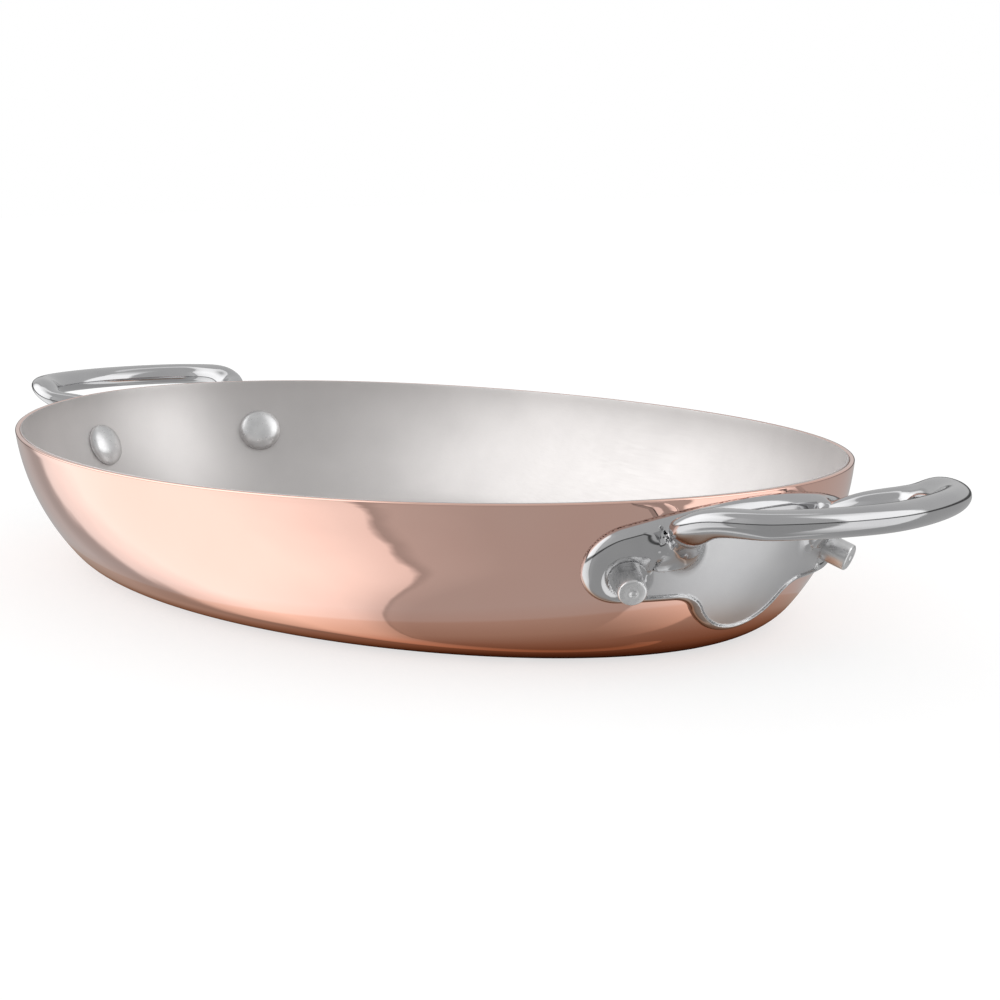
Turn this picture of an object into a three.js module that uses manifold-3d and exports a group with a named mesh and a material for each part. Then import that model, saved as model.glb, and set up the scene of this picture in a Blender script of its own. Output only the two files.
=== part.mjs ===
// An oval copper pan: a pressed copper body lined with steel, and at each end a cast steel loop handle
// held by two solid rivets. Millimetres, +Z up, origin on the table under the middle of the pan.
import * as THREE from "three";
import { mergeVertices } from "three/addons/utils/BufferGeometryUtils.js";
import Module from "manifold-3d";

const wasm = await Module();
wasm.setup();
const radians = THREE.MathUtils.degToRad;

// Pan body, measured outside the copper
const rimLength = 350;
const rimWidth = 230;
const rimHeightSides = 46.8; // at the middle of the long sides
const rimHeightEnds = 48.8; // at the handles
const rimLean = 6; // degrees that the wall leans out at the rim
const footLean = 41; // and where it meets the foot
const footRadius = 20; // the rounding between wall and base
const copperThickness = 1.7;
const liningThickness = 0.4;
const bondGap = 0.05; // keeps copper and lining two solids

// Cast handle: its plate on the wall
const plateThickness = 3.6; // at the lobes and the raised border
const fieldThickness = 2.5; // at the flat field between the lobes
const fieldSpan = 60; // from end to end of the field
const fieldBelowRim = 9.9; // down to the field's upper edge
const borderWidth = 2.7; // of the raised border below the field
const padSpacing = 54; // between the thick round pads that the arms stand on
const padRadius = 8.6;
const padBelowRim = 9.8;
const plateBelowRim = 1.2;
const plateHeight = 38.4; // from the crown of the top edge to the tip of the tongue
const crownRadius = 125; // the arch of the top edge
const lobeSpacing = 70; // between the middles of the two round lobes
const lobeRadius = 11;
const lobeStandOut = 0.39; // by which the lobes stand out past the arch
const tongueRadius = 18.5; // the round end of the tongue between the lobes
const shoulderRadius = 5; // where the tongue leaves the lobes' lower edge
const seatGap = 0.3; // between the plate and the copper
const bossSpacing = 58; // between the small bosses that stiffen the plate beside each arm
const bossBelowRim = 12.2;
const bossRadius = 4.8;
const bossHeight = 1.6; // above the plate

// Cast handle: its bow. Spacing is between the two arms, reach is out from the rim's end.
const gripWidth = 10.6;
const gripThickness = 7.5;
const gripTilt = 18; // degrees by which the grip's outer edge is raised
const gripReach = 49; // the middle of the grip
const gripBelowRim = 0.7;
const sideSpacing = 61.4; // where the grip begins to curve in to its corners
const sideReach = 39.2;
const cornerSpacing = 77.8; // the corners between grip and arms
const cornerReach = 25.4;
const cornerBelowRim = 1.2;
const shoulderSpacing = 77.8; // where each arm turns inwards, behind its corner
const shoulderReach = 16.8;
const shoulderBelowRim = 4.3;
const elbowSpacing = 60.6; // the bend halfway down each arm
const elbowReach = 6.4;
const elbowBelowRim = 7;
const rootSpacing = 44.6; // where each arm grows out of the plate
const rootBelowRim = 13.4;
const rootDepth = 7; // length of arm that is sunk in the plate, to be trimmed off
const armWidth = 7.6;
const armThickness = 8.2;
const armLength = 42; // of centre line, over which the arm's section turns into the grip's
const rootSwell = 1.2; // how much thicker each arm is at the plate
const rootSwellLength = 6;

// Rivets
const rivetSpacing = 70;
const rivetBelowRim = 20.4;
const shankRadius = 3.9;
const shankClearance = 0.3;
const tailLength = 9.5; // from the copper to the end of the tail
const tailChamfer = 0.7;
const dimpleRadius = 1.1;
const dimpleDepth = 0.6;
const headRadius = 8;
const headHeight = 4;
const headLip = 0.6; // the upright edge of the head
const headClearance = 0.45; // between the edge of the head and the hollow wall
const recessRadius = 5.2; // the round dish in the plate about each tail
const recessThickness = 2.1; // of the plate in that dish

// How finely the round forms are cut into facets
const ovalSteps = 64;
const wallSteps = 5;
const footSteps = 4;
const bowSides = 14;
const bowSteps = 36;
const endCrowding = 0.45; // how far the bow's sections gather towards its ends, from 0 to 1
const outlineSteps = 60;
const latheSteps = 18;
const domeSteps = 7;
const bossSteps = 10;
const halvings = 50; // of the range in which a place on the wall is looked for

const halfLength = rimLength / 2;
const halfWidth = rimWidth / 2;
const rimSlope = radians(rimLean);
const footSlope = radians(footLean);
const flatSlope = Math.PI / 2;
const footTop = footRadius * (1 - Math.sin(footSlope));
const wallRadius = (rimHeightSides - footTop) / (Math.sin(footSlope) - Math.sin(rimSlope));
const wallCentre = {
  inset: wallRadius * Math.cos(rimSlope),
  height: rimHeightSides + wallRadius * Math.sin(rimSlope),
};
const footInset =
  wallCentre.inset - (wallRadius - footRadius) * Math.cos(footSlope);

// A closed mesh and a solid for joining and cutting, each made from the other.
function toSolid(geometry) {
  const bare = geometry.index ? geometry.toNonIndexed() : geometry.clone();
  bare.deleteAttribute("normal");
  bare.deleteAttribute("uv");
  const merged = mergeVertices(bare, 1e-4);
  return new wasm.Manifold(
    new wasm.Mesh({
      numProp: 3,
      vertProperties: merged.attributes.position.array,
      triVerts: new Uint32Array(merged.index.array),
    }),
  );
}

function toGeometry(solid) {
  const mesh = solid.getMesh();
  const geometry = new THREE.BufferGeometry();
  geometry.setAttribute("position", new THREE.BufferAttribute(mesh.vertProperties, 3));
  geometry.setIndex(new THREE.BufferAttribute(mesh.triVerts, 1));
  geometry.computeVertexNormals();
  return geometry;
}

function fromTriangles(points, triangles) {
  const geometry = new THREE.BufferGeometry().setFromPoints(points);
  geometry.setIndex(triangles.flat());
  return geometry;
}

// Two triangles for each square between two rows of points, given by their first indices.
function strip(from, to, count, closed) {
  const triangles = [];
  for (let i = 0; i < (closed ? count : count - 1); i++) {
    const next = (i + 1) % count;
    triangles.push([from + i, from + next, to + next], [from + i, to + next, to + i]);
  }
  return triangles;
}

// A closed body through rings of equal count, capped by a fan about a point at either end.
function loft(rings, firstTip, lastTip) {
  const count = rings[0].length;
  const points = [firstTip, ...rings.flat(), lastTip];
  const lastRing = 1 + (rings.length - 1) * count;
  const triangles = [];
  for (let i = 0; i < count; i++) {
    const next = (i + 1) % count;
    triangles.push([0, 1 + next, 1 + i]);
    triangles.push([points.length - 1, lastRing + i, lastRing + next]);
  }
  for (let r = 1; r < rings.length; r++) {
    triangles.push(...strip(1 + (r - 1) * count, 1 + r * count, count, true));
  }
  return fromTriangles(points, triangles);
}

// The oval of the rim, moved in by inset. A place on it is known by turn, the way that the wall faces.
function ovalPoint(turn, inset) {
  const c = Math.cos(turn);
  const s = Math.sin(turn);
  const reach = Math.hypot(halfLength * c, halfWidth * s);
  return [(halfLength ** 2 / reach - inset) * c, (halfWidth ** 2 / reach - inset) * s];
}

// The rim rises gently from the sides to the ends, and the wall below it in proportion.
function rise(turn) {
  const share = ovalPoint(turn, 0)[0] / halfLength;
  return 1 + (rimHeightEnds / rimHeightSides - 1) * share ** 2;
}

// Profile of the body: the inset and height where the surface leans by slope, depth inside the copper's face.
function profilePoint(slope, depth) {
  const onFoot = slope > footSlope;
  const centre = onFoot ? { inset: footInset, height: footRadius } : wallCentre;
  const radius = (onFoot ? footRadius : wallRadius) - depth;
  return [centre.inset - radius * Math.cos(slope), centre.height - radius * Math.sin(slope)];
}

// The slope at which that surface reaches a height.
function slopeAtHeight(height, depth) {
  const onWall = (wallCentre.height - height) / (wallRadius - depth);
  if (onWall < Math.sin(footSlope)) {
    return Math.asin(onWall);
  }
  return Math.asin(Math.min(1, (footRadius - height) / (footRadius - depth)));
}

function bodyPoint(turn, slope, depth) {
  const [inset, height] = profilePoint(slope, depth);
  const [x, y] = ovalPoint(turn, inset);
  return new THREE.Vector3(x, y, height * rise(turn));
}

function slopeStations(depth, topHeight = rimHeightSides) {
  const top = slopeAtHeight(topHeight, depth);
  const stations = [];
  for (let i = 0; i <= wallSteps; i++) {
    stations.push(top + ((footSlope - top) * i) / wallSteps);
  }
  for (let i = 1; i <= footSteps; i++) {
    stations.push(footSlope + ((flatSlope - footSlope) * i) / footSteps);
  }
  return stations;
}

const turns = Array.from({ length: ovalSteps }, (_, i) => (2 * Math.PI * i) / ovalSteps);

function bodyRing(slope, depth) {
  return turns.map((turn) => bodyPoint(turn, slope, depth));
}

// An open vessel between two depths: up the outside from the base, over the rim and down the inside.
function vessel(outerDepth, innerDepth) {
  const outside = slopeStations(outerDepth).map((slope) => bodyRing(slope, outerDepth)).reverse();
  const inside = slopeStations(innerDepth).map((slope) => bodyRing(slope, innerDepth));
  const below = new THREE.Vector3(0, 0, outerDepth);
  const above = new THREE.Vector3(0, 0, innerDepth);
  return toSolid(loft([...outside, ...inside], below, above));
}

// The whole space of the pan, grown by out, which the handles are cut back to.
function grownBody(out) {
  const rings = slopeStations(-out).map((slope) => bodyRing(slope, -out)).reverse();
  const lid = rings.at(-1).map((p) => p.clone().setZ(p.z + plateHeight));
  rings.push(lid);
  const below = new THREE.Vector3(0, 0, -out);
  return toSolid(loft(rings, below, new THREE.Vector3(0, 0, lid[0].z)));
}

// The wall at the right end: a place y across and z up on the copper, moved out square to it.
function wallPlace(y, z) {
  let low = -Math.PI / 2;
  let high = Math.PI / 2;
  let slope = 0;
  for (let i = 0; i < halvings; i++) {
    const middle = (low + high) / 2;
    slope = slopeAtHeight(z / rise(middle), 0);
    if (ovalPoint(middle, profilePoint(slope, 0)[0])[1] < y) {
      low = middle;
    } else {
      high = middle;
    }
  }
  const point = bodyPoint(low, slope, 0);
  const normal = new THREE.Vector3(
    Math.cos(low) * Math.cos(slope),
    Math.sin(low) * Math.cos(slope),
    -Math.sin(slope),
  );
  return { point, normal };
}

function offWall(y, z, out) {
  const { point, normal } = wallPlace(y, z);
  return point.addScaledVector(normal, out);
}

// The rough casting before it is trimmed: wider than the plate, and sunk a little into the wall.
const plateHalfSpan = lobeSpacing / 2 + lobeRadius;
const roughMargin = 12;
const roughDepth = 2;

// A curved slab lying on the right end of the wall, between two distances out from the copper.
function wallSlab(inner, outer) {
  const across = turns
    .map((turn) => (turn > Math.PI ? turn - 2 * Math.PI : turn))
    .filter((turn) => Math.cos(turn) > 0 && Math.abs(ovalPoint(turn, 0)[1]) <= plateHalfSpan + roughMargin)
    .sort((a, b) => a - b);
  const slopes = slopeStations(0).slice(0, -1);
  const face = (out) => across.map((turn) => slopes.map((slope) => bodyPoint(turn, slope, -out)));
  const points = [...face(outer).flat(), ...face(inner).flat()];
  const rows = across.length;
  const columns = slopes.length;
  const back = rows * columns;
  const triangles = [];
  for (let r = 1; r < rows; r++) {
    triangles.push(...strip((r - 1) * columns, r * columns, columns, false));
    triangles.push(...strip(back + r * columns, back + (r - 1) * columns, columns, false));
    const near = (r - 1) * columns;
    const far = r * columns;
    triangles.push([near, far, back + far], [near, back + far, back + near]);
    const nearEnd = near + columns - 1;
    const farEnd = far + columns - 1;
    triangles.push([farEnd, nearEnd, back + nearEnd], [farEnd, back + nearEnd, back + farEnd]);
  }
  triangles.push(...strip(back, 0, columns, false));
  triangles.push(...strip(back - columns, back + back - columns, columns, false));
  return toSolid(fromTriangles(points, triangles));
}

// A prism whose sides stand square to the wall all round an outline given in y and z. Its flat outer end
// cuts across the curve of the wall, so it reaches out as far as the plate's half span.
function wallPrism(outline) {
  const flat = outline.getSpacedPoints(outlineSteps).slice(0, -1);
  const points = [-2 * roughDepth, plateHalfSpan].flatMap((out) => flat.map((p) => offWall(p.x, p.y, out)));
  const count = flat.length;
  const caps = THREE.ShapeUtils.triangulateShape(flat, []);
  const turning = THREE.ShapeUtils.area(flat) > 0;
  const triangles = strip(0, count, count, true);
  for (const [a, b, c] of caps) {
    triangles.push([a, c, b], [count + a, count + b, count + c]);
  }
  return toSolid(fromTriangles(points, turning ? triangles : triangles.map((t) => t.toReversed())));
}

const plateTop = rimHeightEnds - plateBelowRim;
const crownCentre = plateTop - crownRadius;
const crownToLobe = crownRadius - lobeRadius + lobeStandOut;
const lobeHeight = crownCentre + Math.sqrt(crownToLobe ** 2 - (lobeSpacing / 2) ** 2);
const rivetHeight = rimHeightEnds - rivetBelowRim;
const plateTip = plateTop - plateHeight;

// The plate's lower edge, moved in by inset: a round tongue between two shoulders. The half that opens
// an outline goes from the tongue's tip to the right shoulder, the closing half from the left one back.
function lowerEdge(shape, inset, closing) {
  const tongue = tongueRadius - inset;
  const tongueCentre = plateTip + tongueRadius;
  const shoulder = shoulderRadius + inset;
  const shoulderCentre = lobeHeight - lobeRadius + inset - shoulder;
  const drop = tongueCentre - shoulderCentre;
  const shoulderMiddle = Math.sqrt((tongue + shoulder) ** 2 - drop ** 2);
  const leave = Math.atan2(-drop, shoulderMiddle);
  if (closing) {
    shape.absarc(-shoulderMiddle, shoulderCentre, shoulder, flatSlope, -leave, true);
    shape.absarc(0, tongueCentre, tongue, Math.PI - leave, 3 * flatSlope, false);
  } else {
    shape.absarc(0, tongueCentre, tongue, -flatSlope, leave, false);
    shape.absarc(shoulderMiddle, shoulderCentre, shoulder, leave + Math.PI, flatSlope, true);
  }
}

// The plate's outline: the lower edge, two round lobes and an arched top.
function plateOutline() {
  const middle = lobeSpacing / 2;
  const toLobe = Math.atan2(lobeHeight - crownCentre, middle);
  const swing = Math.acos(
    (crownRadius ** 2 + crownToLobe ** 2 - lobeRadius ** 2) / (2 * crownRadius * crownToLobe),
  );
  const crownEnd = toLobe + swing;
  const lobeEnd = Math.atan2(
    crownCentre + crownRadius * Math.sin(crownEnd) - lobeHeight,
    crownRadius * Math.cos(crownEnd) - middle,
  );
  const shape = new THREE.Shape();
  lowerEdge(shape, 0, false);
  shape.absarc(middle, lobeHeight, lobeRadius, -flatSlope, lobeEnd, false);
  shape.absarc(0, crownCentre, crownRadius, crownEnd, Math.PI - crownEnd, false);
  shape.absarc(-middle, lobeHeight, lobeRadius, Math.PI - lobeEnd, 3 * flatSlope, false);
  lowerEdge(shape, 0, true);
  return shape;
}

// The flat field: it follows the lower edge inside the border and goes round the pads under the arms.
function fieldOutline() {
  const end = fieldSpan / 2;
  const middle = padSpacing / 2;
  const padHeight = rimHeightEnds - padBelowRim;
  const meetEnd = -Math.acos((end - middle) / padRadius);
  const meetTop = Math.PI - Math.asin((rimHeightEnds - fieldBelowRim - padHeight) / padRadius);
  const shape = new THREE.Shape();
  lowerEdge(shape, borderWidth, false);
  shape.lineTo(end, lobeHeight - lobeRadius + borderWidth);
  shape.absarc(middle, padHeight, padRadius, meetEnd, meetTop, true);
  shape.absarc(-middle, padHeight, padRadius, Math.PI - meetTop, Math.PI - meetEnd, true);
  shape.lineTo(-end, lobeHeight - lobeRadius + borderWidth);
  lowerEdge(shape, borderWidth, true);
  return shape;
}

// A low round boss beside each arm, half sunk in the plate.
function boss(side) {
  const ball = new THREE.SphereGeometry(bossRadius, bossSteps, bossSteps);
  const out = plateThickness + bossHeight - bossRadius;
  const middle = offWall((side * bossSpacing) / 2, rimHeightEnds - bossBelowRim, out);
  return toSolid(ball.translate(middle.x, middle.y, middle.z));
}

// The bow's centre line: up from the plate along an arm, round a corner, across the grip and back down.
function bowPath() {
  const place = (spacing, reach, belowRim) =>
    new THREE.Vector3(halfLength + reach, spacing / 2, rimHeightEnds - belowRim);
  const root = offWall(rootSpacing / 2, rimHeightEnds - rootBelowRim, 0);
  const elbow = place(elbowSpacing, elbowReach, elbowBelowRim);
  const sunk = root.clone().addScaledVector(root.clone().sub(elbow).normalize(), rootDepth);
  const half = [
    sunk,
    root,
    elbow,
    place(shoulderSpacing, shoulderReach, shoulderBelowRim),
    place(cornerSpacing, cornerReach, cornerBelowRim),
    place(sideSpacing, sideReach, gripBelowRim),
  ];
  const middle = place(0, gripReach, gripBelowRim);
  const otherHalf = half.map((p) => new THREE.Vector3(p.x, -p.y, p.z)).reverse();
  return new THREE.CatmullRomCurve3([...half, middle, ...otherHalf]);
}

// The bow: an oval section swept along that line. Each arm is nearly round and swells where it grows out of
// the plate, and the grip is wider than it is thick.
function bow() {
  const path = bowPath();
  const length = path.getLength();
  const up = new THREE.Vector3(0, 0, 1);
  const mix = THREE.MathUtils.lerp;
  const rings = [];
  for (let i = 0; i <= bowSteps; i++) {
    const even = i / bowSteps;
    const crowded = (1 - Math.cos(Math.PI * even)) / 2;
    const along = even + endCrowding * (crowded - even);
    const centre = path.getPointAt(along);
    const tangent = path.getTangentAt(along);
    const outwards = new THREE.Vector3().crossVectors(up, tangent).normalize();
    const fromEnd = Math.min(along, 1 - along) * length;
    const share = THREE.MathUtils.smoothstep(fromEnd, rootDepth, armLength);
    outwards.applyAxisAngle(tangent, share * radians(gripTilt));
    const top = new THREE.Vector3().crossVectors(tangent, outwards);
    const fromPlate = Math.max(0, fromEnd - rootDepth);
    const swell = 1 + (rootSwell - 1) * Math.exp(-((fromPlate / rootSwellLength) ** 2));
    const halfWide = (mix(armWidth, gripWidth, share) / 2) * swell;
    const halfThick = (mix(armThickness, gripThickness, share) / 2) * swell;
    const ring = [];
    for (let k = 0; k < bowSides; k++) {
      const angle = (2 * Math.PI * k) / bowSides;
      const point = centre.clone();
      point.addScaledVector(outwards, halfWide * Math.cos(angle));
      point.addScaledVector(top, halfThick * Math.sin(angle));
      ring.push(point);
    }
    rings.push(ring);
  }
  return toSolid(loft(rings, path.getPointAt(0), path.getPointAt(1)));
}

// A turned piece set on a rivet's axis: its profile gives radius and distance out from the copper.
function onRivetAxis(profile, side) {
  const { point, normal } = wallPlace((side * rivetSpacing) / 2, rivetHeight);
  const turned = new THREE.LatheGeometry(profile.map(([r, out]) => new THREE.Vector2(r, out)), latheSteps);
  turned.applyQuaternion(new THREE.Quaternion().setFromUnitVectors(new THREE.Vector3(0, 1, 0), normal));
  turned.translate(point.x, point.y, point.z);
  return turned;
}

const drillReach = tailLength + headHeight; // past everything that the rivet goes through

function rivetHole(side) {
  const radius = shankRadius + shankClearance;
  const profile = [[0, -drillReach], [radius, -drillReach], [radius, drillReach], [0, drillReach]];
  return toSolid(onRivetAxis(profile, side));
}

// The dish about each tail, with a flank that opens outwards at half a right angle.
function rivetDish(side) {
  const mouth = recessRadius + plateThickness - recessThickness;
  const profile = [
    [0, recessThickness],
    [recessRadius, recessThickness],
    [mouth, plateThickness],
    [mouth, drillReach],
    [0, drillReach],
  ];
  return toSolid(onRivetAxis(profile, side));
}

// A solid rivet: domed head inside the pan, shank through the wall and plate, tail standing outside.
function rivet(side) {
  const wallDepth = copperThickness + bondGap + liningThickness;
  const hollow = headRadius ** 2 / (2 * (wallRadius - wallDepth)); // the wall's curve under the head
  const seat = -(wallDepth + hollow + headClearance);
  const domeHeight = headHeight - headLip;
  const profile = [[0, seat - headHeight]];
  for (let i = 1; i <= domeSteps; i++) {
    const angle = (flatSlope * i) / domeSteps;
    profile.push([headRadius * Math.sin(angle), seat - headLip - domeHeight * Math.cos(angle)]);
  }
  profile.push(
    [headRadius, seat],
    [shankRadius, seat],
    [shankRadius, tailLength - tailChamfer],
    [shankRadius - tailChamfer, tailLength],
    [dimpleRadius, tailLength],
    [0, tailLength - dimpleDepth],
  );
  return onRivetAxis(profile, side);
}

// The handle in one casting: plate, bosses and bow, fitted to the wall, dished and drilled for its rivets.
function castHandle() {
  const blank = wallSlab(-roughDepth, plateThickness).intersect(wallPrism(plateOutline()));
  const hollow = wallSlab(fieldThickness, plateThickness + roughDepth).intersect(wallPrism(fieldOutline()));
  const rough = blank.subtract(hollow).add(boss(1)).add(boss(-1)).add(bow());
  const cleared = rough.subtract(grownBody(seatGap));
  const dished = cleared.subtract(rivetDish(1)).subtract(rivetDish(-1));
  return dished.subtract(rivetHole(1)).subtract(rivetHole(-1));
}

// Rivet holes through both ends of a vessel.
function drilled(solid) {
  const turned = new THREE.Matrix4().makeRotationZ(Math.PI);
  let result = solid;
  for (const side of [-1, 1]) {
    const hole = rivetHole(side);
    const farHole = toSolid(toGeometry(hole).applyMatrix4(turned));
    result = result.subtract(hole).subtract(farHole);
  }
  return result;
}

const copper = new THREE.MeshStandardMaterial({ color: 0xe0987a, metalness: 1, roughness: 0.12 });
const brushedSteel = new THREE.MeshStandardMaterial({ color: 0xb9b7b3, metalness: 1, roughness: 0.42 });
const polishedSteel = new THREE.MeshStandardMaterial({ color: 0xb4b5b7, metalness: 1, roughness: 0.16 });
const satinSteel = new THREE.MeshStandardMaterial({ color: 0xb0b0b2, metalness: 1, roughness: 0.3 });

function named(name, geometry, material) {
  const mesh = new THREE.Mesh(geometry, material);
  mesh.name = name;
  return mesh;
}

const pan = new THREE.Group();
const liningDepth = copperThickness + bondGap;
const shell = drilled(vessel(0, copperThickness));
const lining = drilled(vessel(liningDepth, liningDepth + liningThickness));
pan.add(named("copper_shell", toGeometry(shell), copper));
pan.add(named("steel_lining", toGeometry(lining), brushedSteel));

// Both ends carry the same handle and the same two rivets.
const handleGeometry = toGeometry(castHandle());
for (const [end, turn] of [["right", 0], ["left", Math.PI]]) {
  const group = new THREE.Group();
  group.rotation.z = turn;
  group.add(named(`handle_${end}`, handleGeometry.clone(), polishedSteel));
  for (const [place, side] of [["front", end === "right" ? -1 : 1], ["back", end === "right" ? 1 : -1]]) {
    group.add(named(`rivet_${end}_${place}`, rivet(side), satinSteel));
  }
  pan.add(group);
}

export default pan;
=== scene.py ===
import math

import bpy
import numpy as np
from mathutils import Matrix, Vector


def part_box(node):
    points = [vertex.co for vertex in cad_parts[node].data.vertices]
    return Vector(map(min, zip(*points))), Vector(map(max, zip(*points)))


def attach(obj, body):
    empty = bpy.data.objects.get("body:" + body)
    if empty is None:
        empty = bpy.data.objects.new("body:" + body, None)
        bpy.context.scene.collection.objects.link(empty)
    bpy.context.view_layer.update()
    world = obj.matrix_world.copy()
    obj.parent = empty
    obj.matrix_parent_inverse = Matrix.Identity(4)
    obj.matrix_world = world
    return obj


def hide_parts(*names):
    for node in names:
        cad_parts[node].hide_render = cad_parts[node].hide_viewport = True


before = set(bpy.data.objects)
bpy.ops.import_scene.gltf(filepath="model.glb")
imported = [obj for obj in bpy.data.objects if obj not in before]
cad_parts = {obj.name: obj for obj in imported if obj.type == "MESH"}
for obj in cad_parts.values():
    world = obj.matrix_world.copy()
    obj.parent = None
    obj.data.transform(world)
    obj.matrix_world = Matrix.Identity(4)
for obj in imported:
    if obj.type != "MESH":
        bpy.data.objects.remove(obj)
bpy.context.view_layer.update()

# Copper body. One oval blank of copper sheet is pressed to shape in a single draw and trimmed along a rim
# that rises a little to both ends. It is rounded there, drilled for the rivets, and buffed outside until
# it is a mirror.
half_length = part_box("copper_shell")[1].x
half_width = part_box("copper_shell")[1].y
rim_height_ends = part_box("copper_shell")[1].z
rim_height_sides = 0.0468
rim_lean = math.radians(6)
foot_lean = math.radians(41)
foot_radius = 0.020
copper_thickness = 0.0017
copper_edge = 0.0005
body_columns = 360
wall_rows = 26
foot_rows = 16
edge_rows = 5
flat_rows = 8

rivet_across = 0.035
rivet_height = rim_height_ends - 0.0204
shank_radius = 0.0039
drill_clearance = 0.0002
drill_reach = 0.012
drill_columns = 48

copper_pale = (0.93, 0.62, 0.525, 1)
copper_deep = (0.93, 0.595, 0.50, 1)
copper_roughness = (0.02, 0.05)
copper_patch_scale = 24
copper_wave_scale = 60
copper_wave_depth = 0.00002
buffing_scale = 900
buffing_stretch = (0.06, 0.06, 1)

foot_top = foot_radius * (1 - math.sin(foot_lean))
wall_radius = (rim_height_sides - foot_top) / (math.sin(foot_lean) - math.sin(rim_lean))
wall_centre_inset = wall_radius * math.cos(rim_lean)
wall_centre_height = rim_height_sides + wall_radius * math.sin(rim_lean)
foot_inset = wall_centre_inset - (wall_radius - foot_radius) * math.cos(foot_lean)


def oval_reach(turn):
    """How far the rim's oval reaches in the direction of turn."""
    return np.hypot(half_length * np.cos(turn), half_width * np.sin(turn))


def oval(turn, inset):
    """The point where the rim's oval, moved in by inset, faces along turn."""
    reach = oval_reach(turn)
    x = (half_length**2 / reach - inset) * np.cos(turn)
    y = (half_width**2 / reach - inset) * np.sin(turn)
    return x, y


def rise(turn):
    """The rim stands a little higher at the ends than at the sides, and the wall in proportion."""
    share = oval(turn, 0)[0] / half_length
    return 1 + (rim_height_ends / rim_height_sides - 1) * share**2


def wall_and_foot(depth, below_rim):
    """Insets and heights from below_rim under the rim to the flat base, depth inside the copper's face."""
    wall = wall_radius - depth
    foot = foot_radius - depth
    top = math.asin((wall_centre_height - rim_height_sides + below_rim) / wall)
    down = np.linspace(top, foot_lean, wall_rows)
    under = np.linspace(foot_lean, math.pi / 2, foot_rows)[1:]
    inset = np.append(wall_centre_inset - wall * np.cos(down), foot_inset - foot * np.cos(under))
    height = np.append(wall_centre_height - wall * np.sin(down), foot_radius - foot * np.sin(under))
    return inset, height


def link_mesh(name, points, faces):
    """A smooth-shaded object in the scene."""
    mesh = bpy.data.meshes.new(name)
    mesh.from_pydata(np.asarray(points).tolist(), [], faces)
    mesh.shade_smooth()
    made = bpy.data.objects.new(name, mesh)
    bpy.context.scene.collection.objects.link(made)
    return made


def ring_faces(rings, columns):
    """Squares between each ring and the next, for rings numbered one after another from 0."""
    start = (np.arange(rings - 1) * columns)[:, None]
    here = np.arange(columns)[None, :]
    after = (here + 1) % columns
    squares = np.stack([start + here, start + after, start + columns + after, start + columns + here], -1)
    return squares.reshape(-1, 4)


def close_ends(points, faces, columns, first_tip, last_tip):
    """The same rings with a fan of triangles to a tip at either end."""
    here = np.arange(columns)
    after = (here + 1) % columns
    last = len(points) - columns
    first_index = len(points)
    fan_in = np.stack([np.full(columns, first_index), after, here], -1)
    fan_out = np.stack([np.full(columns, first_index + 1), last + here, last + after], -1)
    return np.vstack([points, first_tip, last_tip]), faces.tolist() + fan_in.tolist() + fan_out.tolist()


def vessel(name, outer_depth, inner_depth, edge):
    """An open oval vessel between two depths in the pan's wall, with its rim rounded by edge."""
    out_inset, out_height = wall_and_foot(outer_depth, edge)
    in_inset, in_height = wall_and_foot(inner_depth, edge)
    quarter = np.linspace(0, math.pi / 2, edge_rows)[1:]
    round_out = out_inset[0] + edge * (1 - np.cos(quarter))
    round_in = in_inset[0] - edge * (1 - np.cos(quarter[::-1]))
    round_height = rim_height_sides - edge + edge * np.sin(quarter)
    inset = np.concatenate([out_inset[::-1], round_out, round_in, in_inset])
    height = np.concatenate([out_height[::-1], round_height, round_height[::-1], in_height])
    turn = np.linspace(0, 2 * math.pi, body_columns, endpoint=False)
    x, y = oval(turn[None, :], inset[:, None])
    wall = np.stack([x, y, height[:, None] * rise(turn)[None, :]], -1)
    shares = np.linspace(0, 1, flat_rows, endpoint=False)[1:]

    def flat(ring, depth):
        middle = np.array([0, 0, depth])
        return middle + shares[:, None, None] * (ring - middle)

    rings = np.concatenate([flat(wall[0], outer_depth), wall, flat(wall[-1], inner_depth)[::-1]])
    points, faces = close_ends(
        rings.reshape(-1, 3),
        ring_faces(len(rings), body_columns),
        body_columns,
        [0, 0, outer_depth],
        [0, 0, inner_depth],
    )
    return link_mesh(name, points, faces)


def wall_place(across, up):
    """The point on the copper at the right end, across in y and up in z, and the way the wall faces there."""
    halvings = 50
    low, high = -math.pi / 2, math.pi / 2
    for _ in range(halvings):
        turn = (low + high) / 2
        slope = math.asin((wall_centre_height - up / rise(turn)) / wall_radius)
        inset = wall_centre_inset - wall_radius * math.cos(slope)
        if oval(turn, inset)[1] < across:
            low = turn
        else:
            high = turn
    x, y = oval(turn, inset)
    normal = (math.cos(turn) * math.cos(slope), math.sin(turn) * math.cos(slope), -math.sin(slope))
    return np.array([x, y, up]), np.array(normal)


def turned(profile, point, normal, columns):
    """Points and faces of a turned form: profile gives radius and distance out along normal from point."""
    side = np.cross(normal, (0, 0, 1))
    side /= np.linalg.norm(side)
    up = np.cross(normal, side)
    angle = np.linspace(0, 2 * math.pi, columns, endpoint=False)
    spokes = np.cos(angle)[:, None] * side + np.sin(angle)[:, None] * up
    rings = [point + out * normal + radius * spokes for radius, out in profile[1:-1]]
    faces = ring_faces(len(rings), columns)
    tips = [point + out * normal for _, out in (profile[0], profile[-1])]
    return close_ends(np.vstack(rings), faces, columns, *tips)


# Each rivet's place on the copper and its direction: two at the right end, and the same turned half round.
rivet_places = {}
for end, sign in (("right", 1), ("left", -1)):
    for side, across in (("front", -rivet_across), ("back", rivet_across)):
        point, normal = wall_place(sign * across, rivet_height)
        half_turn = np.array([sign, sign, 1])
        rivet_places[f"{end}_{side}"] = (point * half_turn, normal * half_turn)


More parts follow.
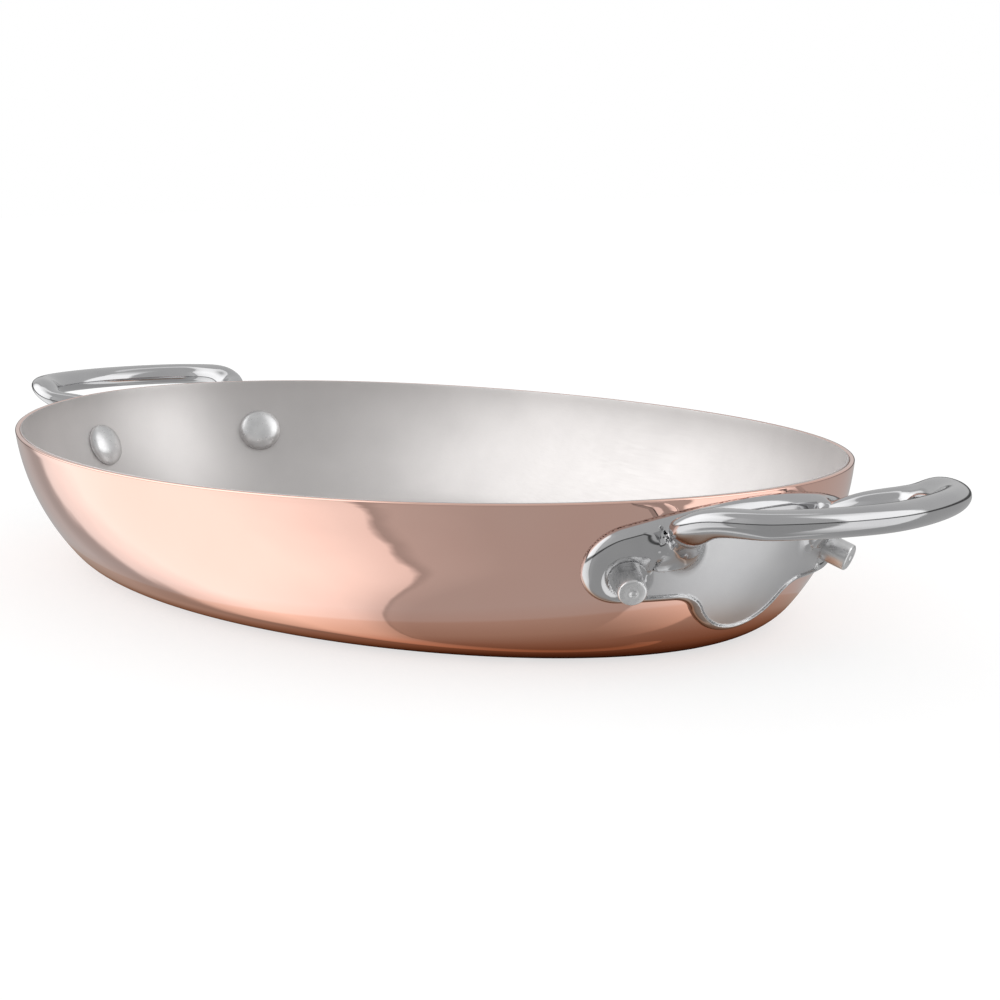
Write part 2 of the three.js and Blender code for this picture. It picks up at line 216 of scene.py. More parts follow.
def drill(vessel_piece):
    """Cuts the four rivet holes through a vessel's wall."""
    radius = shank_radius + drill_clearance
    profile = [(0, -drill_reach), (radius, -drill_reach), (radius, drill_reach), (0, drill_reach)]
    for name, (point, normal) in rivet_places.items():
        cutter = link_mesh("drill_" + name, *turned(profile, point, normal, drill_columns))
        cut = vessel_piece.modifiers.new("hole", "BOOLEAN")
        cut.operation = "DIFFERENCE"
        cut.solver = "EXACT"
        cut.object = cutter
        bpy.context.view_layer.objects.active = vessel_piece
        bpy.ops.object.modifier_apply(modifier=cut.name)
        bpy.data.objects.remove(cutter)


def metal(name, roughness):
    """A bare metal material, with its shader as the second result."""
    material = bpy.data.materials.new(name)
    material.use_nodes = True
    shader = material.node_tree.nodes["Principled BSDF"]
    shader.inputs["Metallic"].default_value = 1
    shader.inputs["Roughness"].default_value = roughness
    return material, shader


def node(material, kind, inputs=None, **settings):
    """Adds a node to a material or the world, with values or other nodes' outputs on its inputs."""
    tree = material.node_tree
    made = tree.nodes.new(kind)
    for key, value in settings.items():
        setattr(made, key, value)
    for key, value in (inputs or {}).items():
        if isinstance(value, bpy.types.NodeSocket):
            tree.links.new(value, made.inputs[key])
        else:
            made.inputs[key].default_value = value
    return made


def noise(material, place, scale, detail=3.0):
    """Noise at a place."""
    inputs = {"Vector": place, "Scale": scale, "Detail": detail}
    return node(material, "ShaderNodeTexNoise", inputs).outputs[0]


def grain(material, scale, stretch=(1, 1, 1), **settings):
    """Noise in the object's own metres, drawn out along the axes where stretch is small."""
    place = node(material, "ShaderNodeTexCoord").outputs["Object"]
    scaled = node(material, "ShaderNodeVectorMath", {0: place, 1: stretch}, operation="MULTIPLY")
    return noise(material, scaled.outputs[0], scale, **settings)


def mapped(material, value, before, after=(0, 1), **settings):
    """A value moved from the range before to the range after."""
    limits = dict(zip(("From Min", "From Max", "To Min", "To Max"), (*before, *after)))
    return node(material, "ShaderNodeMapRange", {"Value": value, **limits}, **settings).outputs[0]


# Nearly all of a noise lies between these.
noise_range = (0.3, 0.7)


def spread(material, value, low=0, high=1):
    """A noise value spread over the range from low to high."""
    return mapped(material, value, noise_range, (low, high))


def tint(material, share, first, second):
    """A colour that goes from first to second with share. Each is a colour or another node's output."""
    first_colour = 6
    second_colour = 7
    result = 2
    inputs = {"Factor": share, first_colour: first, second_colour: second}
    return node(material, "ShaderNodeMix", inputs, data_type="RGBA").outputs[result]


def relief(material, height, depth):
    """A bump of the given depth in metres."""
    return node(material, "ShaderNodeBump", {"Height": height, "Distance": depth}).outputs[0]


def wear(material, shader, colour, roughness, normal):
    """Sets the three things that vary over a metal's surface."""
    links = material.node_tree.links
    links.new(colour, shader.inputs["Base Color"])
    links.new(roughness, shader.inputs["Roughness"])
    links.new(normal, shader.inputs["Normal"])


copper, copper_shader = metal("buffed_copper", copper_roughness[0])
wear(
    copper,
    copper_shader,
    tint(copper, spread(copper, grain(copper, copper_patch_scale)), copper_pale, copper_deep),
    spread(copper, grain(copper, buffing_scale, buffing_stretch), *copper_roughness),
    relief(copper, grain(copper, copper_wave_scale, detail=1.0), copper_wave_depth),
)

copper_body = vessel("copper_body", 0, copper_thickness, copper_edge)
drill(copper_body)
copper_body.data.materials.append(copper)
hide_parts("copper_shell")
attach(copper_body, "root")

# Steel lining. A thin sheet of stainless steel is rolled onto the copper before it is pressed, so it
# follows every curve of the inside. It is left satin, with the faint lines of the sheet in it.
bond_gap = 0.00003
lining_thickness = 0.0004
lining_edge = 0.00018
lining_light = (0.71, 0.685, 0.675, 1)
lining_dark = (0.65, 0.627, 0.618, 1)
lining_roughness = (0.40, 0.48)
lining_patch_scale = 35
lining_grit_scale = 3500
lining_grit_depth = 0.000006
sheet_line_scale = 2200
sheet_line_stretch = (0.02, 1, 1)

lining, lining_shader = metal("satin_lining", lining_roughness[0])
wear(
    lining,
    lining_shader,
    tint(lining, spread(lining, grain(lining, lining_patch_scale)), lining_light, lining_dark),
    spread(lining, grain(lining, sheet_line_scale, sheet_line_stretch), *lining_roughness),
    relief(lining, grain(lining, lining_grit_scale), lining_grit_depth),
)

lining_depth = copper_thickness + bond_gap
steel_skin = vessel("steel_skin", lining_depth, lining_depth + lining_thickness, lining_edge)
drill(steel_skin)
steel_skin.data.materials.append(lining)
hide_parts("steel_lining")
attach(steel_skin, "root")

# Cast handles. Each is one piece of stainless steel, cast with its plate, its two arms and the grip
# between them, dished and drilled for the rivets, then polished all over but for a satin field.
casting_step = 0.0005
seat_gap = 0.00015
plate_thickness = 0.0036
field_thickness = 0.0025
plate_top = rim_height_ends - 0.0012
plate_tip = plate_top - 0.0384
lobe_across = 0.035
lobe_drop = 0.0161
lobe_height = plate_top - lobe_drop
lobe_radius = 0.011
crown_radius = (lobe_across**2 + lobe_drop**2 - lobe_radius**2) / (2 * (lobe_drop - lobe_radius))
tongue_radius = 0.0185
shoulder_radius = 0.008
border_width = 0.0027
field_half_span = 0.030
field_top = rim_height_ends - 0.0099
pad_across = 0.027
pad_height = rim_height_ends - 0.0098
pad_radius = 0.0086
boss_across = 0.029
boss_height = rim_height_ends - 0.0122
boss_radius = 0.0048
boss_stand = 0.0016
plate_edge = 0.0030
plate_dome_width = 0.009
plate_dome_drop = 0.0007
field_edge = 0.0004
root_fillet = 0.0028
boss_fillet = 0.0022
dish_radius = 0.0052
dish_thickness = 0.0021
dish_edge = 0.0012
satin_border = 0.0004
satin_reach = 0.0003

# The rivet's hole is cut this much smaller than the shank, so that no dark slit shows round it.
shank_bite = 0.0004

# Places along half of the bow: across the pan, out past the end of its rim, and below the rim.
bow_middle = (0, 0.0490, 0.0007)
bow_side = (0.0307, 0.0392, 0.0007)
bow_corner = (0.0389, 0.0254, 0.0012)
bow_shoulder = (0.0389, 0.0168, 0.0043)
bow_elbow = (0.0303, 0.0064, 0.0070)
bow_step = 0.0001
bow_stretch_points = 400
grip_width = 0.0106
grip_thickness = 0.0075
grip_tilt = math.radians(18)
root_across = 0.0223
root_below_rim = 0.0134
root_depth = 0.007
arm_width = 0.0076
arm_thickness = 0.0082
arm_length = 0.042
root_swell = 0.2
root_swell_length = 0.006

steel_bright = (0.60, 0.60, 0.605, 1)
steel_grey = (0.55, 0.55, 0.56, 1)
steel_roughness = (0.07, 0.12)
steel_patch_scale = 60
steel_wave_scale = 180
steel_wave_depth = 0.00002
polish_scale = 700
polish_stretch = (1, 0.2, 1)
satin_roughness = (0.34, 0.42)
satin_scale = 3000

# Stands in for zero where a length is divided by.
tiny = 1e-9


def wall_coordinates(points):
    """Where points lie about the right end's wall: across and up on the copper, and out from it."""
    x, y, z = points.T
    turn = np.arctan2(y * half_length**2, x * half_width**2)
    squares = half_length**2 - half_width**2
    rounds = 5
    for _ in range(rounds):
        reach = oval_reach(turn)
        product = np.sin(turn) * np.cos(turn)
        miss = x * np.sin(turn) - y * np.cos(turn) - squares * product / reach
        change = (
            x * np.cos(turn)
            + y * np.sin(turn)
            - squares * (np.cos(2 * turn) / reach + squares * product**2 / reach**3)
        )
        turn = turn - miss / change
    reach = oval_reach(turn)
    inset = reach - (x * np.cos(turn) + y * np.sin(turn))
    lift = rise(turn)
    from_inset = wall_centre_inset - inset
    from_height = wall_centre_height - z / lift
    out = np.hypot(from_inset, from_height) - wall_radius
    slope = np.arctan2(from_height, from_inset)
    wall_inset = wall_centre_inset - wall_radius * np.cos(slope)
    across = (half_width**2 / reach - wall_inset) * np.sin(turn)
    up = lift * (wall_centre_height - wall_radius * np.sin(slope))
    return across, up, out


def arc(across, up, middle, radius, start, end, hollow=False):
    """Distance to an arc, signed so that it is negative towards the middle, or away from it if hollow."""
    y, z = across - middle[0], up - middle[1]
    angle = np.mod(np.arctan2(z, y) - start, 2 * math.pi)
    within = angle <= end - start
    ends = [np.hypot(y - radius * math.cos(a), z - radius * math.sin(a)) for a in (start, end)]
    signed = (np.hypot(y, z) - radius) * (-1 if hollow else 1)
    return np.where(within, signed, np.minimum(*ends))


def line(across, up, start, end):
    """Distance to a straight edge, negative on its left."""
    along = np.array(end) - np.array(start)
    length = math.hypot(*along)
    y, z = across - start[0], up - start[1]
    share = np.clip((y * along[0] + z * along[1]) / length**2, 0, 1)
    distance = np.hypot(y - share * along[0], z - share * along[1])
    left = along[0] * z - along[1] * y > 0
    return np.where(left, -distance, distance)


def nearest(distances):
    """The signed distance to whichever edge is nearest."""
    stack = np.stack(distances)
    choice = np.argmin(np.abs(stack), axis=0)
    return np.take_along_axis(stack, choice[None], axis=0)[0]


def lower_edges(across, up, inset):
    """The tongue and its two shoulders, moved in by inset, and where the shoulders end."""
    tongue = tongue_radius - inset
    tongue_middle = plate_tip + tongue_radius
    bend = shoulder_radius + inset
    bend_middle = lobe_height - lobe_radius + inset - bend
    drop = tongue_middle - bend_middle
    shoulder_across = math.sqrt((tongue + bend) ** 2 - drop**2)
    leave = math.atan2(drop, shoulder_across)
    edges = [arc(across, up, (0, tongue_middle), tongue, leave - math.pi, -leave)]
    for side, start in ((1, math.pi / 2), (-1, leave)):
        middle = (side * shoulder_across, bend_middle)
        span = math.pi / 2 - leave
        edges.append(arc(across, up, middle, bend, start, start + span, hollow=True))
    return edges, shoulder_across


def plate_outline(across, up):
    """Signed distance to the plate's outline: lower edge, round lobes and arched top."""
    edges, shoulder_across = lower_edges(across, up, 0)
    crown_middle = plate_top - crown_radius
    crown_end = math.atan2(lobe_height - crown_middle, lobe_across)
    bottom = lobe_height - lobe_radius
    edges += [
        arc(across, up, (0, crown_middle), crown_radius, crown_end, math.pi - crown_end),
        arc(across, up, (lobe_across, lobe_height), lobe_radius, -math.pi / 2, crown_end),
        arc(across, up, (-lobe_across, lobe_height), lobe_radius, math.pi - crown_end, 1.5 * math.pi),
        line(across, up, (shoulder_across, bottom), (lobe_across, bottom)),
        line(across, up, (-lobe_across, bottom), (-shoulder_across, bottom)),
    ]
    return nearest(edges)


def field_outline(across, up):
    """Signed distance to the outline of the satin field, which goes round the pads under the arms."""
    edges, shoulder_across = lower_edges(across, up, border_width)
    bottom = lobe_height - lobe_radius + border_width
    at_end = math.acos((field_half_span - pad_across) / pad_radius)
    at_top = math.pi - math.asin((field_top - pad_height) / pad_radius)
    meet_up = pad_height - pad_radius * math.sin(at_end)
    meet_across = pad_across + pad_radius * math.cos(at_top)
    right_pad = (pad_across, pad_height)
    left_pad = (-pad_across, pad_height)
    edges += [
        line(across, up, (shoulder_across, bottom), (field_half_span, bottom)),
        line(across, up, (field_half_span, bottom), (field_half_span, meet_up)),
        arc(across, up, right_pad, pad_radius, at_top, 2 * math.pi - at_end, hollow=True),
        line(across, up, (meet_across, field_top), (-meet_across, field_top)),
        arc(across, up, left_pad, pad_radius, at_end - math.pi, math.pi - at_top, hollow=True),
        line(across, up, (-field_half_span, meet_up), (-field_half_span, bottom)),
        line(across, up, (-field_half_span, bottom), (-shoulder_across, bottom)),
    ]
    return nearest(edges)


def both(a, b, radius):
    """The solid common to two distance fields, its edge rounded by radius."""
    corner = np.hypot(np.maximum(a + radius, 0), np.maximum(b + radius, 0))
    return np.minimum(-radius, np.maximum(a, b)) + corner


def either(a, b, radius):
    """Two distance fields joined, with a fillet of radius between them."""
    corner = np.hypot(np.maximum(radius - a, 0), np.maximum(radius - b, 0))
    return np.maximum(radius, np.minimum(a, b)) - corner


def smooth_line(marks, count):
    """A smooth line through marks, with count points to each stretch."""
    marks = np.vstack([2 * marks[0] - marks[1], marks, 2 * marks[-1] - marks[-2]])
    share = np.linspace(0, 1, count, endpoint=False)[:, None]
    stretches = []
    for a, b, c, d in zip(marks, marks[1:], marks[2:], marks[3:]):
        before, here, after = (np.linalg.norm(step) ** 0.5 for step in (b - a, c - b, d - c))
        leaving = ((b - a) / before - (c - a) / (before + here) + (c - b) / here) * here
        arriving = ((c - b) / here - (d - b) / (here + after) + (d - c) / after) * here
        start = (1 + 2 * share) * (1 - share) ** 2 * b + share * (1 - share) ** 2 * leaving
        end = (3 - 2 * share) * share**2 * c + (share - 1) * share**2 * arriving
        stretches.append(start + end)
    return np.vstack(stretches)


def bow_centre_line():
    """Even steps along the bow from root to root, with the point, the way along and the bend at each."""
    root = wall_place(root_across, rim_height_ends - root_below_rim)[0]
    route = [
        np.array([half_length + reach, across, rim_height_ends - below_rim])
        for across, reach, below_rim in (bow_elbow, bow_shoulder, bow_corner, bow_side, bow_middle)
    ]
    sunk = root + root_depth * (root - route[0]) / np.linalg.norm(root - route[0])
    half = [sunk, root] + route
    mirror = np.array([1, -1, 1])
    marks = np.array(half + [mark * mirror for mark in half[-2::-1]])
    rough = smooth_line(marks, bow_stretch_points)
    travelled = np.append(0, np.cumsum(np.linalg.norm(np.diff(rough, axis=0), axis=1)))
    even = np.arange(0, travelled[-1], bow_step)
    points = np.stack([np.interp(even, travelled, rough[:, k]) for k in range(3)], -1)
    ways = np.gradient(points, even, axis=0)
    ways /= np.linalg.norm(ways, axis=1, keepdims=True)
    return even, points, ways, np.gradient(ways, even, axis=0)


bow_travel, bow_points, bow_ways, bow_bends = bow_centre_line()


def on_bow(travel, table):
    """What a table of the bow says at each distance along it."""
    return np.stack([np.interp(travel, bow_travel, table[:, k]) for k in range(3)], -1)


def nearest_on_bow(points):
    """How far along the bow its nearest place to each point lies: the nearest mark, then drawn closer."""
    stride = 12
    batch_size = 20000
    rounds = 4
    least_crowding = 0.3
    marks = bow_points[::stride]
    travel = np.empty(len(points))
    for first in range(0, len(points), batch_size):
        batch = slice(first, first + batch_size)
        apart = ((points[batch, None, :] - marks[None]) ** 2).sum(-1)
        travel[batch] = bow_travel[::stride][apart.argmin(1)]
    for _ in range(rounds):
        offset = points - on_bow(travel, bow_points)
        along = (offset * on_bow(travel, bow_ways)).sum(-1)
        crowding = np.maximum(1 - (offset * on_bow(travel, bow_bends)).sum(-1), least_crowding)
        travel = np.clip(travel + along / crowding, 0, bow_travel[-1])
    return travel


def bow_distance(points):
    """Distance to the bow, whose arms are nearly round and swell at the plate, with a tilted oval grip."""
    travel = nearest_on_bow(points)
    offset = points - on_bow(travel, bow_points)
    way = on_bow(travel, bow_ways)
    beyond = (offset * way).sum(-1)
    level = np.cross((0, 0, 1), way)
    level /= np.linalg.norm(level, axis=1, keepdims=True)
    above = np.cross(way, level)
    from_plate = np.maximum(np.minimum(travel, bow_travel[-1] - travel) - root_depth, 0)
    share = np.clip(from_plate / (arm_length - root_depth), 0, 1)
    share = share**2 * (3 - 2 * share)
    swell = 1 + root_swell * np.exp(-((from_plate / root_swell_length) ** 2))
    width = (arm_width + share * (grip_width - arm_width)) / 2 * swell
    thickness = (arm_thickness + share * (grip_thickness - arm_thickness)) / 2 * swell
    cosine, sine = np.cos(share * grip_tilt), np.sin(share * grip_tilt)
    sideways, upwards = (offset * level).sum(-1), (offset * above).sum(-1)
    u = sideways * cosine + upwards * sine
    v = upwards * cosine - sideways * sine
    shape = np.sqrt((u / width) ** 2 + (v / thickness) ** 2)
    steep = np.sqrt((u / width**2) ** 2 + (v / thickness**2) ** 2)
    section = np.where(steep > tiny, shape * (shape - 1) / np.maximum(steep, tiny), -thickness)
    past_end = np.where((travel <= 0) | (travel >= bow_travel[-1]), np.abs(beyond), -thickness)
    return np.maximum(section, past_end)


def casting(points):
    """Distance to the right handle: negative in the steel."""
    across, up, out = wall_coordinates(points)
    outline = plate_outline(across, up)
    towards_edge = np.clip(1 + outline / plate_dome_width, 0, 1)
    face = plate_thickness - plate_dome_drop * towards_edge**2
    solid = both(out - face, outline, plate_edge)
    recess = both(field_outline(across, up), field_thickness - out, field_edge)
    solid = both(solid, -recess, field_edge)
    for side in (1, -1):
        place, normal = wall_place(side * boss_across, boss_height)
        middle = place + normal * (plate_thickness + boss_stand - boss_radius)
        ball = np.linalg.norm(points - middle, axis=1) - boss_radius
        solid = either(solid, ball, boss_fillet)
    solid = either(solid, bow_distance(points), root_fillet)
    solid = np.maximum(solid, seat_gap - out)
    for side in (1, -1):
        place, normal = wall_place(side * rivet_across, rivet_height)
        outward = (points - place) @ normal
        radius = np.linalg.norm(points - place - outward[:, None] * normal, axis=1)
        flank = (radius - dish_radius - (outward - dish_thickness)) / math.sqrt(2)
        dish = np.maximum(flank, dish_thickness - outward)
        solid = both(solid, -dish, dish_edge)
        solid = np.maximum(solid, shank_radius - shank_bite - radius)
    return solid


def sample(distance, low, counts, step):
    """A distance on a grid, worked out finely only in the blocks that lie near the surface."""
    block = 4
    near_blocks = 1.6
    blocks = [math.ceil(n / block) for n in counts]
    middles = [low[k] + step * (block * np.arange(blocks[k]) + (block - 1) / 2) for k in range(3)]
    grid = np.stack(np.meshgrid(*middles, indexing="ij"), -1).reshape(-1, 3)
    rough = distance(grid).reshape(blocks)
    values = rough.repeat(block, 0).repeat(block, 1).repeat(block, 2)
    near = np.argwhere(np.abs(rough) < near_blocks * block * step)
    inner = np.stack(np.meshgrid(*[np.arange(block)] * 3, indexing="ij"), -1).reshape(-1, 3)
    index = (near[:, None, :] * block + inner[None]).reshape(-1, 3)
    values[tuple(index.T)] = distance(np.asarray(low) + index * step)
    return values


def steepness(distance, points, step):
    """A distance at points, and its slope there."""
    small = step / 10
    slope = np.empty_like(points)
    for k in range(3):
        shift = np.zeros(3)
        shift[k] = small
        slope[:, k] = (distance(points + shift) - distance(points - shift)) / (2 * small)
    return distance(points), slope


def wrap(distance, low, high, step):
    """Points and four-sided faces over the surface where a distance is zero: one point to each cell."""
    counts = [math.ceil((high[k] - low[k]) / step) + 1 for k in range(3)]
    values = sample(distance, low, counts, step)
    cells = np.array(values.shape) - 1
    total = np.zeros((cells.prod(), 3))
    hits = np.zeros(cells.prod())
    crossings = []
    for axis in range(3):
        a = np.take(values, range(values.shape[axis] - 1), axis)
        b = np.take(values, range(1, values.shape[axis]), axis)
        at = np.argwhere((a < 0) != (b < 0))
        first, second = (axis + 1) % 3, (axis + 2) % 3
        inside = (at[:, first] > 0) & (at[:, first] < cells[first])
        inside &= (at[:, second] > 0) & (at[:, second] < cells[second])
        at = at[inside]
        start, end = a[tuple(at.T)], b[tuple(at.T)]
        point = at.astype(float)
        point[:, axis] += start / (start - end)
        corners = []
        for p, q in ((0, 0), (-1, 0), (-1, -1), (0, -1)):
            cell = at.copy()
            cell[:, first] += p
            cell[:, second] += q
            number = np.ravel_multi_index(tuple(cell.T), cells)
            np.add.at(total, number, point)
            np.add.at(hits, number, 1)
            corners.append(number)
        squares = np.stack(corners, -1)
        leaving = start < 0
        crossings.append(np.where(leaving[:, None], squares, squares[:, ::-1]))
    used = np.flatnonzero(hits)
    renumber = np.full(cells.prod(), -1)
    renumber[used] = np.arange(len(used))
    points = np.asarray(low) + total[used] / hits[used, None] * step
    return points, renumber[np.vstack(crossings)]


def even_out(distance, points, faces, step):
    """The points drawn towards their neighbours, and back onto the surface where the distance is zero."""
    rounds = 2
    pulls = 2
    least_slope = 0.5
    edges = np.vstack([faces[:, (0, 1)], faces[:, (1, 2)], faces[:, (2, 3)], faces[:, (3, 0)]])
    for _ in range(rounds):
        around = np.zeros_like(points)
        count = np.zeros(len(points))
        for a, b in ((0, 1), (1, 0)):
            np.add.at(around, edges[:, a], points[edges[:, b]])
            np.add.at(count, edges[:, a], 1)
        points = (points + around / count[:, None]) / 2
        for _ in range(pulls):
            value, slope = steepness(distance, points, step)
            steep = np.maximum((slope**2).sum(-1, keepdims=True), least_slope**2)
            points = points - np.clip(value[:, None] * slope / steep, -step / 2, step / 2)
    return points


def cast_handle():
    """The right handle's mesh, with how satin each point is."""
    cad_low, cad_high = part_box("handle_right")
    margin = 0.002
    low = [value - margin for value in cad_low]
    high = [value + margin for value in cad_high]
    points, faces = wrap(casting, low, high, casting_step)
    points = even_out(casting, points, faces, casting_step)
    across, up, out = wall_coordinates(points)
    inside_field = np.clip(-field_outline(across, up) / satin_border, 0, 1)
    on_floor = np.clip(2 - np.abs(out - field_thickness) / satin_reach, 0, 1)
    mesh = bpy.data.meshes.new("cast_handle")
    mesh.from_pydata(points.tolist(), [], faces.tolist())
    mesh.shade_smooth()
    satin = mesh.attributes.new("satin", "FLOAT", "POINT")
    satin.data.foreach_set("value", (inside_field * on_floor).astype(np.float32))
    slope = steepness(casting, points, casting_step)[1]
    slope /= np.maximum(np.linalg.norm(slope, axis=1, keepdims=True), tiny)
    mesh.normals_split_custom_set_from_vertices(slope.tolist())
    return mesh


cast_steel, cast_shader = metal("polished_casting", steel_roughness[0])
satin_share = node(cast_steel, "ShaderNodeAttribute", attribute_name="satin").outputs["Fac"]
polished = spread(cast_steel, grain(cast_steel, polish_scale, polish_stretch), *steel_roughness)
blasted = spread(cast_steel, grain(cast_steel, satin_scale), *satin_roughness)
finish = node(cast_steel, "ShaderNodeMix", {"Factor": satin_share, "A": polished, "B": blasted})
wear(
    cast_steel,
    cast_shader,
    tint(cast_steel, spread(cast_steel, grain(cast_steel, steel_patch_scale)), steel_bright, steel_grey),
    finish.outputs[0],
    relief(cast_steel, grain(cast_steel, steel_wave_scale, detail=1.0), steel_wave_depth),
)

handle_mesh = cast_handle()
handle_mesh.materials.append(cast_steel)
for end, turn in (("right", 0), ("left", math.pi)):
    mesh = handle_mesh if turn == 0 else handle_mesh.copy()
    if turn:
        mesh.transform(Matrix.Rotation(turn, 4, "Z"))
    handle = bpy.data.objects.new(end + "_loop_handle", mesh)
    bpy.context.scene.collection.objects.link(handle)
    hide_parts("handle_" + end)
    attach(handle, "root")

# Rivets. Each is one solid turned piece of steel: the domed head is inside the pan, the shank goes
# through lining, copper and plate, and its plain end stands out with the lathe's small centre mark.
rivet_columns = 72
tail_length = 0.0095
tail_chamfer = 0.0007
tail_rings = 6
dimple_radius = 0.0011
dimple_depth = 0.0005
dimple_lip_outer = 0.00176
dimple_lip_inner = 0.00121
dimple_lip_drop = 0.00005
head_radius = 0.008
head_height = 0.0040
head_lip = 0.0007
head_rings = 14
seat_chamfer_width = 0.0003
seat_chamfer_height = 0.0002
rounding_rings = 5
rivet_light = (0.80, 0.80, 0.80, 1)
rivet_grey = (0.70, 0.70, 0.705, 1)
rivet_roughness = (0.26, 0.36)
rivet_patch_scale = 260
rivet_grit_scale = 900
rivet_wave_scale = 350
rivet_wave_depth = 0.00001

# The wall is hollow under the head, which rests on it with its edge.
wall_depth = lining_depth + lining_thickness
head_stand_off = head_radius**2 / (2 * (wall_radius - wall_depth))
head_seat = -(wall_depth + head_stand_off)


def rivet_profile():
    """Radius and distance out from the copper, from the top of the head to the end of the tail."""
    dome_height = head_height - head_lip
    dome_angle = np.linspace(0, math.pi / 2, head_rings)
    round_angle = np.linspace(0, math.pi / 2, rounding_rings)
    round_start = tail_length - tail_chamfer
    head = [(head_radius * math.sin(a), head_seat - head_lip - dome_height * math.cos(a)) for a in dome_angle]
    seat = [
        (head_radius, head_seat),
        (head_radius - seat_chamfer_width, head_seat + seat_chamfer_height),
        (shank_radius, head_seat),
    ]
    shank = [(shank_radius, out) for out in np.linspace(0, round_start, tail_rings)]
    end = [
        (shank_radius - tail_chamfer * (1 - math.cos(a)), round_start + tail_chamfer * math.sin(a))
        for a in round_angle[1:]
    ]
    lip = [(dimple_lip_outer, tail_length), (dimple_lip_inner, tail_length - dimple_lip_drop)]
    dimple = [
        (dimple_radius * math.sin(a), tail_length - dimple_depth * math.cos(a)) for a in round_angle[::-1]
    ]
    return head + seat + shank + end + lip + dimple


rivet_steel, rivet_shader = metal("turned_steel", rivet_roughness[0])
wear(
    rivet_steel,
    rivet_shader,
    tint(rivet_steel, spread(rivet_steel, grain(rivet_steel, rivet_patch_scale)), rivet_light, rivet_grey),
    spread(rivet_steel, grain(rivet_steel, rivet_grit_scale), *rivet_roughness),
    relief(rivet_steel, grain(rivet_steel, rivet_wave_scale, detail=2.0), rivet_wave_depth),
)
for place, (point, normal) in rivet_places.items():
    rivet_mesh = turned(rivet_profile(), point, normal, rivet_columns)
    rivet = link_mesh(place + "_solid_rivet", *rivet_mesh)
    rivet.data.materials.append(rivet_steel)
    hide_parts("rivet_" + place)
    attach(rivet, "root")

# Studio. The pan stands on a pale floor between soft white walls, with the grey of the open side about
# the camera. Polished metal sees the floor as a plate that gives the walls back, with a painted warm glow
# of the copper and a painted shadow on it close to the pan's foot.
floor_size = 8.0
floor_drop = 0.0001
floor_white = 0.36
floor_glow = 0.68
floor_mirror = 0.75
base_half_length = 0.142
base_half_width = 0.082

# Distances from the middle, as shares of the base's oval, and the painted shade in the floor's reflection
# there.
painted_shade_range = (1.0, 1.3)
# Painted shade: a warm glow of the copper, then a dark contact shadow, as the floor nears the base.
painted_shade_stops = [
    (1.03, (0.01, 0.004, 0.003)),
    (1.06, (0.16, 0.05, 0.02)),
    (1.09, (0.38, 0.17, 0.09)),
    (1.12, (0.54, 0.31, 0.21)),
    (1.155, (0.76, 0.57, 0.46)),
    (1.205, (0.90, 0.75, 0.66)),
    (1.215, (0.97, 0.90, 0.86)),
    (1.27, (1.0, 1.0, 1.0)),
]


def shade_ramp(material, value, stops, low, high):
    """A colour ramp whose stops are given between low and high."""
    ramp = node(material, "ShaderNodeValToRGB", {0: mapped(material, value, (low, high))})
    elements = ramp.color_ramp.elements
    while len(elements) > 1:
        elements.remove(elements[-1])
    for k, (stop, colour) in enumerate(stops):
        place = (stop - low) / (high - low)
        element = elements[0] if k == 0 else elements.new(place)
        element.position = place
        element.color = (*colour, 1)
    return ramp.outputs[0]


def painted_contact_shade(material):
    """The painted shade on the floor in the metal: white, then a painted warm glow and a painted shadow
    towards the pan's base.
    """
    place = node(material, "ShaderNodeTexCoord").outputs["Object"]
    shares = (1 / base_half_length, 1 / base_half_width, 0)
    scaled = node(material, "ShaderNodeVectorMath", {0: place, 1: shares}, operation="MULTIPLY")
    out = node(material, "ShaderNodeVectorMath", {0: scaled.outputs[0]}, operation="LENGTH")
    dimmed = [(stop, [floor_mirror * part for part in colour]) for stop, colour in painted_shade_stops]
    return shade_ramp(material, out.outputs["Value"], dimmed, *painted_shade_range)


def studio_floor():
    """A square of floor, white to the camera, and to polished metal a see-through plate with painted contact
    shade.
    """
    half = floor_size / 2
    corners = [(x, y, -floor_drop) for x, y in ((-half, -half), (half, -half), (half, half), (-half, half))]
    floor = link_mesh("studio_floor", corners, [(0, 1, 2, 3)])
    material = bpy.data.materials.new("pale_floor")
    material.use_nodes = True
    tree = material.node_tree
    tree.nodes.remove(tree.nodes["Principled BSDF"])
    white = node(material, "ShaderNodeBsdfDiffuse", {"Color": (floor_white, floor_white, floor_white, 1)})
    glow = node(material, "ShaderNodeEmission", {"Color": (1, 1, 1, 1), "Strength": floor_glow})
    pale = node(material, "ShaderNodeAddShader", {0: white.outputs[0], 1: glow.outputs[0]})
    # The plate's colour is the painted contact shadow and painted warm glow near the pan.
    plate = node(material, "ShaderNodeBsdfTransparent", {"Color": painted_contact_shade(material)})
    rays = node(material, "ShaderNodeLightPath")
    seen = node(
        material,
        "ShaderNodeMixShader",
        {0: rays.outputs["Is Glossy Ray"], 1: pale.outputs[0], 2: plate.outputs[0]},
    )
    tree.links.new(seen.outputs[0], tree.nodes["Material Output"].inputs["Surface"])
    floor.data.materials.append(material)


# Bearings round the studio, in degrees from the pan's front side towards its right end, and how bright the
# walls are there: a dark edge, the bright screen on the left, the grey open side, and a second screen.
wall_stops = [
    (-180, 0.60),
    (-112, 0.60),
    (-98, 0.64),
    (-92, 0.52),
    (-89, 0.52),
    (-86, 1.20),
    (-73, 1.72),
    (-35, 1.68),
    (-20, 1.50),
    (-8, 1.30),
    (-2, 1.22),
    (-1, 0.50),
    (1, 0.52),
    (5, 0.66),
    (16, 0.62),
    (30, 0.56),
    (60, 0.54),
    (97, 0.54),
    (99, 1.5),
    (150, 1.5),
    (152, 0.60),
]
ceiling_bright = 0.55
ceiling_start = math.radians(40)
ceiling_full = math.radians(85)

